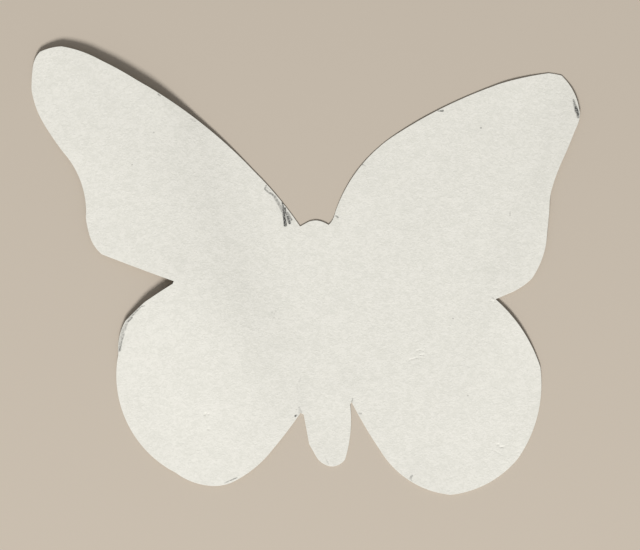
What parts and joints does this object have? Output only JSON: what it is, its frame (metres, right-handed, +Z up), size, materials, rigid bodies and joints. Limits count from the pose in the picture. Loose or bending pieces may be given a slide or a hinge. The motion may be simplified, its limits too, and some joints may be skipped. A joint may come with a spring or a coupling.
{
  "type": "cut paper butterfly",
  "caption": "Butterfly shape cut by hand with scissors from white card. It lies flat along its body, with gently arched wings, as a craft blank or a decoration.",
  "frame": {"origin": "on the body line, on the underside that rests on the table, half way between the top of the head and the gaps beside the tail", "axes": "+X to the right across the wings, +Y along the body line from the tail to the head, +Z up out of the sheet"},
  "size_m": [0.19, 0.1645, 0.0037],
  "materials": {
    "white_card": "matt, uncoated, with a fine fibrous tooth"
  },
  "bodies": {
    "root": {"paper_butterfly": "white_card"}
  },
  "joints": []
}
